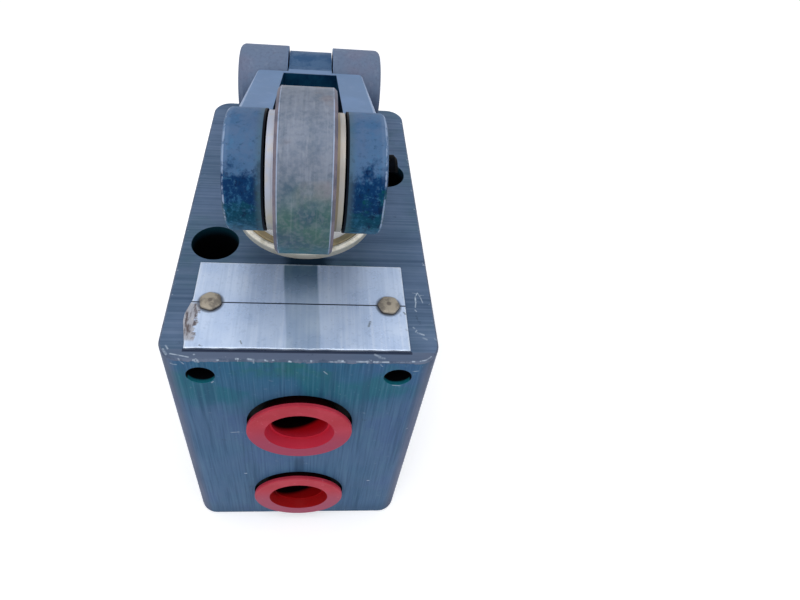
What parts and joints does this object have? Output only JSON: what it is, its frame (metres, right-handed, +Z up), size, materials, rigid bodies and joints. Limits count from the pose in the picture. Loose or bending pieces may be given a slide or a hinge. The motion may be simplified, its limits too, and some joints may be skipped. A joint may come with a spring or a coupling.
{
  "type": "roller lever pneumatic valve",
  "caption": "Block air valve with a roller lever on top, a sprung plunger and spool inside, two plugged front ports and a bare name plate.",
  "frame": {"origin": "centre of the block's bottom face, the face that the valve stands on", "axes": "+Z up along the block's height, -Y towards the face with the two ports, +X to the right when looking at the ports"},
  "size_m": [0.0446, 0.075, 0.0952],
  "materials": {
    "body_paint": "painted, brushed and worn",
    "lever_paint": "painted casting",
    "bracket_metal": "matt, shot blasted",
    "roller_steel": "brushed, lightly stained",
    "bright_steel": "polished",
    "black_steel": "black oxide",
    "brass": "satin",
    "bronze": "satin",
    "washer_brass": "satin, pale",
    "plate_aluminium": "brushed",
    "seal_rubber": "matt",
    "plug_plastic": "moulded, slightly glossy"
  },
  "bodies": {
    "body": {"valve_body": "body_paint", "hinge_bracket": "bracket_metal", "bracket_screws": "black_steel", "pivot_pin": "bright_steel", "guide_nut": "brass", "guide_nut_seal": "seal_rubber", "lower_spacer": "brass", "middle_spacer": "brass", "upper_spacer": "brass", "lower_packing": "seal_rubber", "upper_packing": "seal_rubber", "spacer_seals": "seal_rubber", "bottom_plug": "brass", "bottom_plug_seal": "seal_rubber", "return_spring": "bright_steel", "nameplate": "plate_aluminium", "nameplate_screws": "brass"},
    "lever": {"lever": "lever_paint", "pivot_bushing": "bronze", "roller_pin": "black_steel", "thrust_washer_left": "washer_brass", "thrust_washer_right": "washer_brass"},
    "roller": {"roller": "roller_steel", "roller_bushing": "bronze"},
    "plunger": {"plunger": "bright_steel", "spool": "bright_steel"},
    "upper_port_plug": {"upper_port_plug": "plug_plastic"},
    "lower_port_plug": {"lower_port_plug": "plug_plastic"}
  },
  "joints": [
    {"name": "lever_pivot", "type": "hinge", "parent": "body", "child": "lever", "pos_m": [0, 0.02825, 0.072], "axis": [1, 0, 0], "range_deg": [0, 7], "stiffness_Nm_per_rad": 2.6, "springref_deg": -12.61},
    {"name": "roller_spin", "type": "hinge", "parent": "lever", "child": "roller", "pos_m": [0, -0.01551, 0.0825], "axis": [1, 0, 0], "continuous": true},
    {"name": "plunger_slide", "type": "slide", "parent": "body", "child": "plunger", "axis": [0, 0, -1], "range_m": [0, 0.0036], "deforming": ["return_spring"]},
    {"name": "upper_port_plug_pull", "type": "slide", "parent": "body", "child": "upper_port_plug", "axis": [0, -1, 0], "range_m": [0, 0.02]},
    {"name": "lower_port_plug_pull", "type": "slide", "parent": "body", "child": "lower_port_plug", "axis": [0, -1, 0], "range_m": [0, 0.02]}
  ],
  "couplings": [
    {"joint": "plunger_slide", "follows": "lever_pivot", "m_per_rad": 0.0284}
  ]
}
